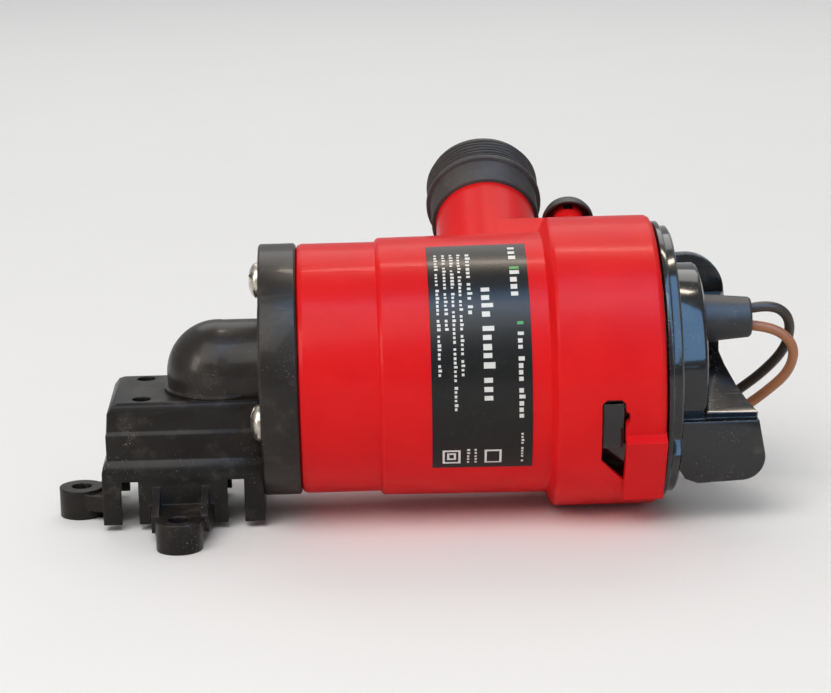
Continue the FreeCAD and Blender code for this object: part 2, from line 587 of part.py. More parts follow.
def make_motor():
    """Sealed motor of the cartridge: shell, can, magnets, bushings, brush gear and rotor."""
    turned("motor_shell", [
        ("shell_x", 5.2), ("shell_x", "shell_radius-0.8"), ("shell_x+0.8", "shell_radius"),
        ("shell_end", "shell_radius"), ("shell_end", "can_radius+0.1"),
        ("shell_x+3.4", "can_radius+0.1"), ("shell_x+3.4", 5.2)])
    turned("shaft_seal", [("shell_x", "shaft_radius+0.05"), ("shell_x", 5.2),
                          ("shell_x+3.4", 5.2), ("shell_x+3.4", 3.2),
                          ("shell_x+1.4", "shaft_radius+0.05")])
    turned("motor_can", [
        ("can_x", 4.6), ("can_x", "can_radius"), ("can_end", "can_radius"), ("can_end", "can_bore"),
        ("can_x+1.2", "can_bore"), ("can_x+1.2", 4.6)])
    turned("front_bushing", [("can_x", "shaft_radius+0.04"), ("can_x", 4.6), ("can_x+3.4", 4.6),
                             ("can_x+3.4", "shaft_radius+0.04")])
    turned("rear_bushing", [("can_end+1.4", "shaft_radius+0.04"), ("can_end+1.4", 4.6),
                            ("can_end+5", 4.6), ("can_end+5", "shaft_radius+0.04")])
    magnets = []
    for index, start in enumerate((20, 200)):
        bodies = doc.addObject("PartDesign::Body", f"magnet_{index}")
        sketch = new_sketch(bodies, f"magnet_section_{index}", "XZ_Plane", around(start))
        polygon(sketch, rectangle("core_x-2", "core_end+2", "core_radius+0.6", "can_bore-0.05"))
        revolve(bodies, sketch, sweep=140)
        magnets.append(bodies)
    group = doc.addObject("Part::Compound", "field_magnets")
    group.Links = magnets
    keep(on_axis(group), "field_magnets")
    make_end_bell()
    make_brushes()
    make_rotor()


def make_end_bell():
    """Brush plate that closes the can and carries the rear bushing and the leaf springs."""
    body = turned("end_bell", [
        ("can_end", 6.2), ("can_end", "can_radius"), ("can_end+3.4", "can_radius"),
        ("can_end+3.4", 6.2), ("can_end+6", 6.2), ("can_end+6", 2.8), ("can_end+5", 2.8),
        ("can_end+5", 4.6), ("can_end+1.4", 4.6), ("can_end+1.4", 6.2)])
    for index, flank in enumerate((-1, 1)):
        post = new_sketch(body, f"spring_post_{index}", "YZ_Plane", base=(0, 0, "can_end-5"))
        left, right = sorted((9 * flank, 12.5 * flank))
        low, high = sorted((9.6 * flank, 12.2 * flank))
        polygon(post, rectangle(left, right, low, high))
        feature(body, "Pad", post, Length="6")
    return body


def make_brushes():
    """Two carbon brushes held on the commutator by leaf springs, and the two supply tabs."""
    groups = {"brushes": [], "brush_springs": [], "supply_tabs": [], "inner_leads": []}

    def block(group, name, corner, size):
        item = doc.addObject("Part::Box", name)
        bind(item, Length=size[0], Width=size[1], Height=size[2], Placement__Base__x=corner[0],
             Placement__Base__y=corner[1], Placement__Base__z=corner[2])
        groups[group].append(item)

    for index, flank in enumerate((-1, 1)):
        carbon = "commutator_radius+0.05" if flank > 0 else "-commutator_radius-4.05"
        leaf = "commutator_radius+4.05" if flank > 0 else "-commutator_radius-4.4"
        block("brushes", f"brush_{index}", ("can_end-4.6", -2, carbon), (4, 4, 4))
        block("brush_springs", f"leaf_{index}", ("can_end-4.6", -2 if flank > 0 else -12, leaf),
              (4, 14, 0.35))
        tab = f"gland_z+{2.05 * flank}"
        block("supply_tabs", f"tab_{index}", ("can_end+3.4", -2.4, f"{tab}-0.4"), (6.6, 4.8, 0.8))
        lead = doc.addObject("Part::Cylinder", f"lead_{index}")
        lead.Placement = Placement(Vector(), Rotation(Vector(0, 1, 0), 90))
        bind(lead, Radius="wire/2", Height="gland_end-can_end-10", Placement__Base__x="can_end+10",
             Placement__Base__z=tab)
        groups["inner_leads"].append(lead)
    for name, items in groups.items():
        group = doc.addObject("Part::Compound", name)
        group.Links = items
        keep(on_axis(group), name)


def make_rotor():
    """Shaft, laminated core, windings, commutator and the impeller."""
    turned("motor_shaft", [("shaft_x", 0), ("shaft_x", "shaft_radius-0.4"),
                           ("shaft_x+0.4", "shaft_radius"), ("shaft_end-0.4", "shaft_radius"),
                           ("shaft_end", "shaft_radius-0.4"), ("shaft_end", 0)])
    core = turned("armature_core", [("core_x", "shaft_radius"), ("core_x", "core_radius"),
                                    ("core_end", "core_radius"), ("core_end", "shaft_radius")])
    windings = turned("armature_windings", [
        ("core_x-3.4", 4.4), ("core_x-3.4", 11.4), ("core_x-2.4", 12.6), ("core_x", 12.6),
        ("core_x", 4.4)])
    rear = polygon(new_sketch(windings, "rear_turns", "XZ_Plane"), [
        ("core_end", 4.4), ("core_end", 12.6), ("core_end+2.2", 12.6), ("core_end+3", 11.4),
        ("core_end+3", 4.4)])
    slots = 5
    for index in range(slots):
        angle = 360 * index / slots
        slot = new_sketch(core, f"core_slot_{index}", "YZ_Plane", (Vector(0, 0, 1), angle),
                          (0, 0, "core_x-1"))
        polygon(slot, rectangle(6, "core_radius+1", -2, 2))
        feature(core, "Pocket", slot, Length="core_end-core_x+2", Reversed=True)
        bar = new_sketch(windings, f"slot_coil_{index}", "YZ_Plane", (Vector(0, 0, 1), angle),
                         (0, 0, "core_x-0.5"))
        polygon(bar, rectangle(6.1, 12.4, -1.9, 1.9))
        feature(windings, "Pad", bar, Length="core_end-core_x+1")
    revolve(windings, rear)
    turned("commutator", [("core_end+3.6", "shaft_radius"), ("core_end+3.6", "commutator_radius"),
                          ("can_end", "commutator_radius"), ("can_end", "shaft_radius")])
    impeller = turned("impeller", [
        ("impeller_end-1.6", "shaft_radius"), ("impeller_x", "shaft_radius"), ("impeller_x", 3.6),
        ("impeller_end-2.6", 4.6), ("impeller_end-1.6", 6), ("impeller_end-1.6", "impeller_radius"),
        ("impeller_end", "impeller_radius"), ("impeller_end", "shaft_radius")])
    vanes = 6
    for index in range(vanes):
        vane = new_sketch(impeller, f"vane_{index}", "YZ_Plane",
                          (Vector(0, 0, 1), 360 * index / vanes), (0, 0, "impeller_end-1.7"))
        line = [(3.2, 0), (7.6, 1.1), (12, 4), ("impeller_radius-1.7", 7)]
        back = [(reach, f"({side})-1.3") for reach, side in reversed(line)]
        polygon(vane, line + back)
        feature(impeller, "Pad", vane, Length="impeller_end-1.7-impeller_x", Reversed=True)


def rounded_path(points):
    """Straight runs joined by tangent arcs, each as large as its two runs allow."""
    edges = []
    radii = []
    start = points[0]
    for before, corner, after in zip(points, points[1:], points[2:]):
        back = before - corner
        ahead = after - corner
        turn = math.pi - back.getAngle(ahead)
        trim = 0.45 * min(back.Length, ahead.Length)
        radius = trim / math.tan(turn / 2)
        radii.append(radius)
        enter = corner + back.normalize() * trim
        leave = corner + ahead.normalize() * trim
        bisector = (enter + leave) * 0.5 - corner
        to_centre = math.hypot(radius, trim)
        middle = corner + bisector.normalize() * (to_centre - radius)
        edges.append(Part.LineSegment(start, enter).toShape())
        edges.append(Part.Arc(enter, middle, leave).toShape())
        start = leave
    edges.append(Part.LineSegment(start, points[-1]).toShape())
    return Part.Wire(edges), radii


def make_tube(name, route):
    """One insulated wire along its route; its volume must be its section times its length."""
    points = [Vector(*point) for point in route]
    path, radii = rounded_path(points)
    radius = DIMENSIONS["wire"] / 2
    direction = (points[1] - points[0]).normalize()
    ring = Part.Wire(Part.makeCircle(radius, points[0], direction))
    solid = path.makePipeShell([ring], True, False)
    expected = math.pi * radius ** 2 * path.Length
    print(f"{name}: length {path.Length:.1f}, radii {[round(r, 1) for r in radii]},"
          f" volume ratio {solid.Volume / expected:.4f}")
    item = doc.addObject("Part::Feature", name)
    item.Shape = solid
    item.Placement = Placement()
    keep(item, name)
    return points


def make_coil(name, centre):
    """Closed ring that holds the wound length, lifted by the strap that ties it."""
    half = DIMENSIONS["coil_pitch"] * DIMENSIONS["coil_columns"] / 2
    height = DIMENSIONS["coil_pitch"] * DIMENSIONS["coil_layers"]
    outer = DIMENSIONS["coil_mid_radius"] + half
    inner = DIMENSIONS["coil_mid_radius"] - half
    low = Vector(centre[0], centre[1], DIMENSIONS["tie_skin"])
    coil = doc.addObject("Part::Feature", name)
    coil.Shape = Part.makeCylinder(outer, height, low).cut(Part.makeCylinder(inner, height, low))
    keep(coil, name)
    skin = DIMENSIONS["tie_skin"]
    gap = 0.08
    loop = Part.makeBox(outer - inner + 2 * (gap + skin), DIMENSIONS["tie_width"], height + 2 * skin,
                        Vector(centre[0] + inner - gap - skin, centre[1] - DIMENSIONS["tie_width"] / 2, 0))
    inside = Part.makeBox(outer - inner + 2 * gap, DIMENSIONS["tie_width"], height,
                          Vector(centre[0] + inner - gap, centre[1] - DIMENSIONS["tie_width"] / 2, skin))
    tie = doc.addObject("Part::Feature", f"{name.replace('_coil', '')}_tie")
    tie.Shape = loop.cut(inside)
    keep(tie, tie.Name)


def make_tip(name, end, heading):
    """Stripped and tinned end of a wire."""
    tip = doc.addObject("Part::Cylinder", name)
    tip.Placement = Placement(end, Rotation(Vector(0, 0, 1), heading))
    bind(tip, Radius="wire_tip/2", Height="tip_length")
    keep(tip, name)


WIRES = {
    "black_wire": {
        "route": [(132.85, 0, 44.95), (137.9, 0.3, 45.8), (142.6, 2.2, 41.8), (142.2, 5.6, 34.2),
                  (137.4, 9.0, 27.5), (130.4, 12.6, 21.2), (124.2, 18.2, 14.6), (118.6, 25.6, 7.6),
                  (112.0, 33.4, 2.4), (101.6, 36.35, 1.75)],
        "coil": (94, 52)},
    "brown_wire": {
        "route": [(132.85, 0, 40.85), (138.4, -0.9, 40.5), (143.2, -0.6, 35.8), (142.4, 2.4, 29.0),
                  (137.2, 5.6, 23.2), (130.8, 9.2, 17.5), (124.6, 14.2, 11.6), (117.0, 20.4, 5.6),
                  (107.4, 25.6, 2.2), (95.4, 28.6, 1.3), (83.0, 30.8, 1.35), (72.0, 32.2, 1.5),
                  (63.6, 32.35, 1.75)],
        "coil": (56, 48)},
}
# The loose end lies on top of its coil; points are counted from the coil's centre.
TAIL = [(-4.6, -15.1), (-9.6, -12.6), (-12.8, -7.6), (-13.5, -1.6)]


def make_wires():
    """Two supply wires from the gland to the floor behind the pump, wound up and tied there."""
    for name, wire in WIRES.items():
        make_tube(name, wire["route"])
        make_coil(f"{name}_coil", wire["coil"])
        top = value_of("tie_skin+coil_pitch*coil_layers+wire/2")
        tail = [(wire["coil"][0] + across, wire["coil"][1] + back, top) for across, back in TAIL]
        points = make_tube(f"{name}_tail", tail)
        make_tip(f"{name}_tip", points[-1], points[-1] - points[-2])


def check_and_export():
    """Stop on any failed object, then write one file for each sub-part."""
    doc.recompute()
    for item in doc.Objects:
        if {"Invalid", "Error"} & set(item.State):
            raise RuntimeError(f"{item.Name} failed: {item.State}")
    os.makedirs("parts", exist_ok=True)
    for name, item in NODES.items():
        shape = item.Shape
        if shape.isNull() or not shape.isValid():
            raise RuntimeError(f"{name} has no valid shape")
        box = shape.BoundBox
        print(f"{name:22s} solids {len(shape.Solids)} volume {shape.Volume:9.1f}"
              f"  x {box.XMin:7.2f} {box.XMax:7.2f}  y {box.YMin:7.2f} {box.YMax:7.2f}"
              f"  z {box.ZMin:7.2f} {box.ZMax:7.2f}")
        shape.exportStep(f"parts/{name}.step")


make_inlet_cover()
make_strainer_base()
make_housing()
make_discharge_port()
make_vent_valve()
make_rating_label()
make_screws()
make_ring("cover_seal", "cover_seat-seal_cord", "seal_radius", "seal_cord-0.01")
make_cartridge_cap()
make_ring("cartridge_seal", "collar_step-3.1", "body_bore-1.12", "1.05")
make_wire_gland()
make_motor()
make_wires()
check_and_export()
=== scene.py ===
import logging
import math
import random
from dataclasses import dataclass, field
from enum import Enum
from functools import lru_cache
from typing import Any, Iterable, Mapping, Optional, Sequence, Union

import bmesh
import bpy
from mathutils import Matrix, Vector


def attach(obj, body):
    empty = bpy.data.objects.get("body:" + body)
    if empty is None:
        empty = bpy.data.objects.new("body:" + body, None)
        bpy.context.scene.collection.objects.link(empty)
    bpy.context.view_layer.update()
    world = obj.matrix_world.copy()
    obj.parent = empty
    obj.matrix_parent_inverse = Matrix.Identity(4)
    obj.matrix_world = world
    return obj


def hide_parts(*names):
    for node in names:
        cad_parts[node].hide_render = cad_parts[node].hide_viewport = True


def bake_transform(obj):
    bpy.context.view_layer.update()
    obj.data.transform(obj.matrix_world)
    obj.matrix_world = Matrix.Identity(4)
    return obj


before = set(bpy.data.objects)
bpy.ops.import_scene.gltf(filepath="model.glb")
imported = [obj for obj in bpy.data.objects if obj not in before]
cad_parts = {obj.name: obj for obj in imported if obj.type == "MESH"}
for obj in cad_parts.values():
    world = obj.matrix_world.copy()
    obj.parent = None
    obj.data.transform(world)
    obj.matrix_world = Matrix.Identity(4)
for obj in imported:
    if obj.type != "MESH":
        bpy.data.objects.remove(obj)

LOG = logging.getLogger("bilge_pump")
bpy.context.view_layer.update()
MM = 0.001
AXIS_X, AXIS_Z = 19.0, 33.6
BEVEL_SAMPLES = 6
EDGE_TURN = (0.03, 0.25)
SPECK_BAND = (0.7, 0.76)

Colour = tuple[float, float, float]
Point = tuple[float, float, float]
Term = Union["Signal", float]


class Body(Enum):
    """The moving groups that the pieces made here ride on."""

    PUMP = "pump"
    CARTRIDGE = "cartridge"


class Slot(Enum):
    """Material slots of the record that pieces take their finish from."""

    RED = "red_moulding"
    BLACK = "black_moulding"
    PORT = "port_moulding"
    GLOSS = "gloss_black"
    RUBBER = "black_rubber"
    LABEL = "label_film"
    SCREWS = "stainless_screws"
    STEEL = "motor_steel"
    BRONZE = "bronze"
    MAGNET = "magnet"
    CARBON = "carbon"
    COPPER = "copper"
    WHITE = "white_moulding"
    BROWN_WIRE = "brown_insulation"
    BLACK_WIRE = "black_insulation"
    TINNED = "tinned_copper"


# ---------------------------------------------------------------- shader tools


class Signal:
    """An output socket that takes part in Python arithmetic."""

    def __init__(self, graph: "Graph", socket: bpy.types.NodeSocket) -> None:
        """Wrap one socket of a graph.

        Args:
            graph: the node tree that the socket belongs to.
            socket: the output that carries the value.
        """
        self.graph = graph
        self.socket = socket

    def _math(self, operation: str, *terms: Term) -> "Signal":
        """Join terms with one Math node.

        Args:
            operation: the Math node's operation.
            terms: signals or plain numbers, in socket order.

        Returns:
            The node's result.
        """
        return self.graph.signal("ShaderNodeMath", {"operation": operation}, dict(enumerate(terms)))

    def __add__(self, other: Term) -> "Signal":
        """This value plus another."""
        return self._math("ADD", self, other)

    def __radd__(self, other: Term) -> "Signal":
        """Another value plus this one."""
        return self._math("ADD", other, self)

    def __sub__(self, other: Term) -> "Signal":
        """This value less another."""
        return self._math("SUBTRACT", self, other)

    def __rsub__(self, other: Term) -> "Signal":
        """Another value less this one."""
        return self._math("SUBTRACT", other, self)

    def __mul__(self, other: Term) -> "Signal":
        """This value times another."""
        return self._math("MULTIPLY", self, other)

    def __rmul__(self, other: Term) -> "Signal":
        """Another value times this one."""
        return self._math("MULTIPLY", other, self)

    def band(self, low: float, high: float) -> "Signal":
        """Rise smoothly from 0 to 1 between two values.

        Args:
            low: the value where the result leaves 0.
            high: the value where the result reaches 1.

        Returns:
            The share between the two.
        """
        return self.graph.signal(
            "ShaderNodeMapRange", {"interpolation_type": "SMOOTHSTEP"},
            {0: self, 1: low, 2: high, 3: 0.0, 4: 1.0})

    def clamp(self) -> "Signal":
        """This value held between 0 and 1."""
        return self.graph.signal("ShaderNodeClamp", {}, {0: self})


class Graph:
    """The node tree of one finish."""

    def __init__(self, name: str) -> None:
        """Start an empty material.

        Args:
            name: the material's name.
        """
        self.material = bpy.data.materials.new(name)
        self.material.use_nodes = True
        self.tree = self.material.node_tree
        self.tree.nodes.clear()

    def add(self, kind: str, settings: Mapping[str, Any], sockets: Mapping[Any, Any]) -> bpy.types.Node:
        """Add one node.

        Args:
            kind: the node's type name.
            settings: properties of the node, set before its sockets.
            sockets: input name or number to a value or a Signal.

        Returns:
            The new node.
        """
        node = self.tree.nodes.new(kind)
        for name, setting in settings.items():
            setattr(node, name, setting)
        for key, value in sockets.items():
            if isinstance(value, Signal):
                self.tree.links.new(value.socket, node.inputs[key])
            else:
                node.inputs[key].default_value = value
        return node

    def signal(self, kind: str, settings: Mapping[str, Any], sockets: Mapping[Any, Any],
               output: Union[int, str] = 0) -> Signal:
        """Add one node and give one of its outputs.

        Args:
            kind: the node's type name.
            settings: properties of the node.
            sockets: input name or number to a value or a Signal.
            output: which output is wanted.

        Returns:
            That output.
        """
        return Signal(self, self.add(kind, settings, sockets).outputs[output])

    @property
    def place(self) -> Signal:
        """Position on the piece, in metres in the part's frame."""
        return self.signal("ShaderNodeTexCoord", {}, {}, "Object")

    def stretched(self, factors: Point) -> Signal:
        """Position with each axis scaled on its own."""
        return self.signal("ShaderNodeVectorMath", {"operation": "MULTIPLY"}, {0: self.place, 1: factors})

    def noise(self, size_mm: float, detail: float = 2.0, rough: float = 0.5,
              where: Optional[Signal] = None) -> Signal:
        """Cloudy value between 0 and 1.

        Args:
            size_mm: rough width of one cloud.
            detail: number of finer octaves.
            rough: strength of the finer octaves.
            where: position to read it at, the piece's own if left out.

        Returns:
            The noise value.
        """
        return self.signal("ShaderNodeTexNoise", {}, {
            "Vector": where or self.place, "Scale": 1.0 / (size_mm * MM), "Detail": detail,
            "Roughness": rough})

    def mixed(self, share: Term, first: Any, second: Any) -> Signal:
        """Blend two colours.

        Args:
            share: how much of the second.
            first: a colour or Signal.
            second: a colour or Signal.

        Returns:
            The blended colour.
        """
        return self.signal("ShaderNodeMix", {"data_type": "RGBA"},
                           {0: share, 6: solid(first), 7: solid(second)}, 2)

    @property
    def normal(self) -> Signal:
        """The surface's own smooth normal."""
        return self.signal("ShaderNodeNewGeometry", {}, {}, "Normal")

    def rounded(self, radius_mm: float) -> Signal:
        """Normal that turns smoothly over edges of the given radius."""
        return self.signal("ShaderNodeBevel", {"samples": BEVEL_SAMPLES}, {"Radius": radius_mm * MM})

    def edges(self, normal: Signal) -> Signal:
        """Find the edges, from how far the rounded normal leaves the true one.

        Args:
            normal: the rounded normal.

        Returns:
            0 on the flats, rising to 1 along the edges.
        """
        true = self.signal("ShaderNodeNewGeometry", {}, {}, "True Normal")
        agreement = self.signal("ShaderNodeVectorMath", {"operation": "DOT_PRODUCT"},
                                {0: normal, 1: true}, "Value")
        return (1.0 - agreement).band(*EDGE_TURN)

    def bump(self, height: Signal, depth_mm: float, normal: Signal) -> Signal:
        """Relief on top of a normal.

        Args:
            height: height between 0 and 1.
            depth_mm: what a height of 1 stands for.
            normal: the normal under the relief.

        Returns:
            The disturbed normal.
        """
        return self.signal("ShaderNodeBump", {}, {
            "Strength": 1.0, "Distance": depth_mm * MM, "Height": height, "Normal": normal})

    def finish(self, sockets: Mapping[str, Any]) -> bpy.types.Material:
        """Close the tree with a Principled shader.

        Args:
            sockets: input name to a value or a Signal.

        Returns:
            The finished material.
        """
        shader = self.add("ShaderNodeBsdfPrincipled", {}, {k: solid(v) for k, v in sockets.items()})
        output = self.add("ShaderNodeOutputMaterial", {}, {})
        self.tree.links.new(shader.outputs[0], output.inputs[0])
        return self.material


def solid(value: Any) -> Any:
    """Give a three-part colour its alpha and leave anything else as it is."""
    return (*value, 1.0) if isinstance(value, tuple) and len(value) == 3 else value


# -------------------------------------------------------------------- finishes


@dataclass(frozen=True)
class Moulding:
    """Injection-moulded plastic or rubber with rounded edges, dust and wear."""

    name: str
    colour: Colour
    shade: Colour
    roughness: float
    spread: float = 0.08
    polish: float = 0.0
    specular: float = 0.5
    grain_mm: float = 0.35
    grain_depth: float = 0.0
    ripple_depth: float = 0.0
    dust: float = 0.0
    dust_colour: Colour = (0.42, 0.38, 0.33)
    wear: float = 0.0
    wear_colour: Colour = (0.1, 0.09, 0.085)
    scratches: float = 0.0
    edge_mm: float = 0.35
    cloud_mm: float = 16.0
    smear_mm: float = 5.0
    ripple_mm: float = 22.0
    wear_mm: float = 3.0
    dust_patch_mm: float = 9.0
    dust_film_mm: float = 7.0
    speck_mm: float = 0.3
    scratch_mm: float = 0.9

    @lru_cache(maxsize=None)
    def paint(self) -> bpy.types.Material:
        """Build the material once.

        Returns:
            The finished material.
        """
        graph = Graph(self.name)
        normal = graph.rounded(self.edge_mm)
        clouds = graph.noise(self.cloud_mm, 3.0, 0.55)
        colour = graph.mixed(clouds.band(0.3, 0.7), self.colour, self.shade)
        smears = graph.noise(self.smear_mm, 4.0, 0.6)
        roughness = smears * (2.0 * self.spread) + (self.roughness - self.spread)
        height = graph.noise(self.grain_mm, 2.0, 0.5) * self.grain_depth
        height = height + graph.noise(self.ripple_mm, 0.0, 0.5) * self.ripple_depth
        if self.wear:
            patches = graph.noise(self.wear_mm, 4.0, 0.7).band(0.42, 0.68)
            worn = (graph.edges(normal) * patches * self.wear).clamp()
            colour = graph.mixed(worn, colour, self.wear_colour)
            roughness = roughness + worn * 0.15
        if self.dust:
            patches = graph.noise(self.dust_patch_mm, 2.0, 0.5).band(0.5, 0.68)
            specks = graph.noise(self.speck_mm, 1.0, 0.5).band(*SPECK_BAND) * patches
            film = graph.noise(self.dust_film_mm, 5.0, 0.65).band(0.5, 0.85) * 0.14
            dusty = ((specks + film) * self.dust).clamp()
            colour = graph.mixed(dusty, colour, self.dust_colour)
            roughness = roughness + dusty * 0.4
        if self.scratches:
            along = graph.stretched((0.08, 1.0, 0.55))
            marks = graph.noise(self.scratch_mm, 2.0, 0.4, along).band(0.655, 0.7) * self.scratches
            roughness = roughness + marks * 0.25
            height = height - marks * 0.01
        return graph.finish({
            "Base Color": colour, "Roughness": roughness.clamp(), "Normal": graph.bump(height, 1.0, normal),
            "Coat Weight": self.polish, "Coat Roughness": 0.06, "Specular IOR Level": self.specular})


@dataclass(frozen=True)
class Metal:
    """Turned or drawn metal with fine tool marks and light tarnish."""

    name: str
    colour: Colour
    tarnish: Colour
    roughness: float
    marks_mm: float = 0.25
    marks_depth: float = 0.006
    lustre: float = 1.0

    @lru_cache(maxsize=None)
    def paint(self) -> bpy.types.Material:
        """Build the material once.

        Returns:
            The finished material.
        """
        graph = Graph(self.name)
        normal = graph.rounded(0.2)
        stains = graph.noise(2.6, 4.0, 0.65).band(0.42, 0.72)
        marks = graph.noise(self.marks_mm, 3.0, 0.6, graph.stretched((1.0, 0.35, 0.35)))
        return graph.finish({
            "Base Color": graph.mixed(stains, self.colour, self.tarnish),
            "Roughness": (marks * 0.2 + stains * 0.12 + (self.roughness - 0.1)).clamp(),
            "Metallic": self.lustre, "Normal": graph.bump(marks, self.marks_depth, normal)})


@dataclass(frozen=True)
class Insulation:
    """Soft extruded wire insulation."""

    name: str
    colour: Colour
    shade: Colour

    @lru_cache(maxsize=None)
    def paint(self) -> bpy.types.Material:
        """Build the material once.

        Returns:
            The finished material.
        """
        graph = Graph(self.name)
        smear = graph.noise(6.0, 4.0, 0.6)
        specks = graph.noise(0.25, 1.0, 0.5).band(0.72, 0.78) * 0.4
        return graph.finish({
            "Base Color": graph.mixed(specks, graph.mixed(smear.band(0.3, 0.7), self.colour, self.shade),
                                      (0.45, 0.38, 0.3)),
            "Roughness": smear * 0.2 + 0.3, "Specular IOR Level": 0.45,
            "Normal": graph.bump(graph.noise(1.2, 3.0, 0.6), 0.02, graph.normal)})


@dataclass(frozen=True)
class Print:
    """Printing ink on the label film."""

    name: str
    colour: Colour

    @lru_cache(maxsize=None)
    def paint(self) -> bpy.types.Material:
        """Build the material once.

        Returns:
            The finished material.
        """
        graph = Graph(self.name)
        worn = graph.noise(0.8, 3.0, 0.6).band(0.6, 0.8) * 0.35
        return graph.finish({
            "Base Color": graph.mixed(worn, self.colour, (0.12, 0.12, 0.12)),
            "Roughness": graph.noise(2.0) * 0.1 + 0.35, "Normal": graph.bump(worn, 0.01, graph.normal)})


@dataclass(frozen=True)
class StudioFloor:
    """Plain pale paper sweep."""

    name: str = "pale_floor"

    @lru_cache(maxsize=None)
    def paint(self) -> bpy.types.Material:
        """Build the material once.

        Returns:
            The finished material.
        """
        graph = Graph(self.name)
        return graph.finish({
            "Base Color": graph.mixed(graph.noise(60.0), (0.86, 0.86, 0.86), (0.88, 0.88, 0.88)),
            "Roughness": 0.9, "Specular IOR Level": 0.1})


class Finish:
    """Every finish the pump wears, by what it is on."""

    RED = Moulding("red_moulding", (0.76, 0.0125, 0.014), (0.70, 0.009, 0.012), 0.3,
                   spread=0.05, polish=0.04, specular=0.09, grain_mm=0.5, grain_depth=0.004,
                   ripple_depth=0.25, dust=0.12, dust_colour=(0.85, 0.3, 0.26), scratches=0.35,
                   edge_mm=0.45)
    COVER = Moulding("cover_moulding", (0.027, 0.023, 0.020), (0.018, 0.015, 0.013), 0.32, polish=0.1,
                     specular=0.2, grain_mm=0.3, grain_depth=0.008, ripple_depth=0.2, dust=0.75,
                     wear=0.55, scratches=0.6, edge_mm=0.4)
    STRAINER = Moulding("strainer_moulding", (0.015, 0.012, 0.010), (0.008, 0.0065, 0.0055), 0.36,
                        polish=0.06, specular=0.2, grain_mm=0.3, grain_depth=0.006,
                        ripple_depth=0.25, dust=0.9, wear=0.75, scratches=0.5, edge_mm=0.5)
    PORT = Moulding("port_moulding", (0.062, 0.055, 0.053), (0.042, 0.037, 0.036), 0.52,
                    spread=0.1, specular=0.3,
                    grain_mm=0.28, grain_depth=0.05, ripple_depth=0.1, dust=0.9, wear=0.4,
                    wear_colour=(0.22, 0.2, 0.19), edge_mm=0.2)
    GLOSS = Moulding("gloss_black", (0.006, 0.006, 0.007), (0.005, 0.005, 0.006), 0.14,
                     spread=0.05, polish=0.5, specular=0.35,
                     grain_mm=0.6, grain_depth=0.003, ripple_depth=0.12, dust=0.75,
                     dust_colour=(0.5, 0.46, 0.4), wear=0.55, wear_colour=(0.3, 0.27, 0.23), scratches=0.8,
                     edge_mm=0.55)
    RUBBER = Moulding("black_rubber", (0.030, 0.029, 0.030), (0.020, 0.019, 0.020), 0.45, spread=0.1,
                      grain_mm=0.4, grain_depth=0.012, dust=0.7, edge_mm=0.3)
    STRAP = Moulding("nylon_strap", (0.020, 0.020, 0.021), (0.014, 0.014, 0.015), 0.4, edge_mm=0.15)
    FILM = Moulding("label_film", (0.011, 0.011, 0.010), (0.009, 0.009, 0.009), 0.26,
                    spread=0.03, polish=0.05, specular=0.25,
                    grain_mm=0.6, grain_depth=0.002, ripple_depth=0.04, dust=0.15, edge_mm=0.1)
    WHITE = Moulding("white_moulding", (0.72, 0.71, 0.68), (0.66, 0.65, 0.62), 0.42, grain_depth=0.005,
                     edge_mm=0.3)
    MAGNET = Moulding("ferrite", (0.050, 0.050, 0.053), (0.036, 0.036, 0.039), 0.6, grain_mm=0.2,
                      grain_depth=0.015, edge_mm=0.3)
    CARBON = Moulding("brush_carbon", (0.030, 0.030, 0.032), (0.020, 0.020, 0.022), 0.48, grain_mm=0.15,
                      grain_depth=0.01, edge_mm=0.15)
    SCREW = Metal("stainless", (0.62, 0.57, 0.50), (0.36, 0.31, 0.26), 0.3)
    STEEL = Metal("motor_steel", (0.50, 0.50, 0.52), (0.36, 0.35, 0.35), 0.34)
    BRONZE = Metal("bronze", (0.58, 0.38, 0.18), (0.38, 0.24, 0.12), 0.35)
    COPPER = Metal("copper", (0.72, 0.34, 0.19), (0.46, 0.20, 0.11), 0.32)
    TINNED = Metal("tinned_copper", (0.66, 0.64, 0.60), (0.48, 0.44, 0.38), 0.34, marks_mm=0.35,
                   marks_depth=0.03)
    BROWN_WIRE = Insulation("brown_insulation", (0.44, 0.175, 0.08), (0.36, 0.14, 0.062))
    BLACK_WIRE = Insulation("black_insulation", (0.052, 0.037, 0.026), (0.036, 0.026, 0.019))
    INK = Print("white_ink", (0.72, 0.72, 0.70))
    GREEN_INK = Print("green_ink", (0.05, 0.36, 0.07))


# ---------------------------------------------------------------- mesh tools


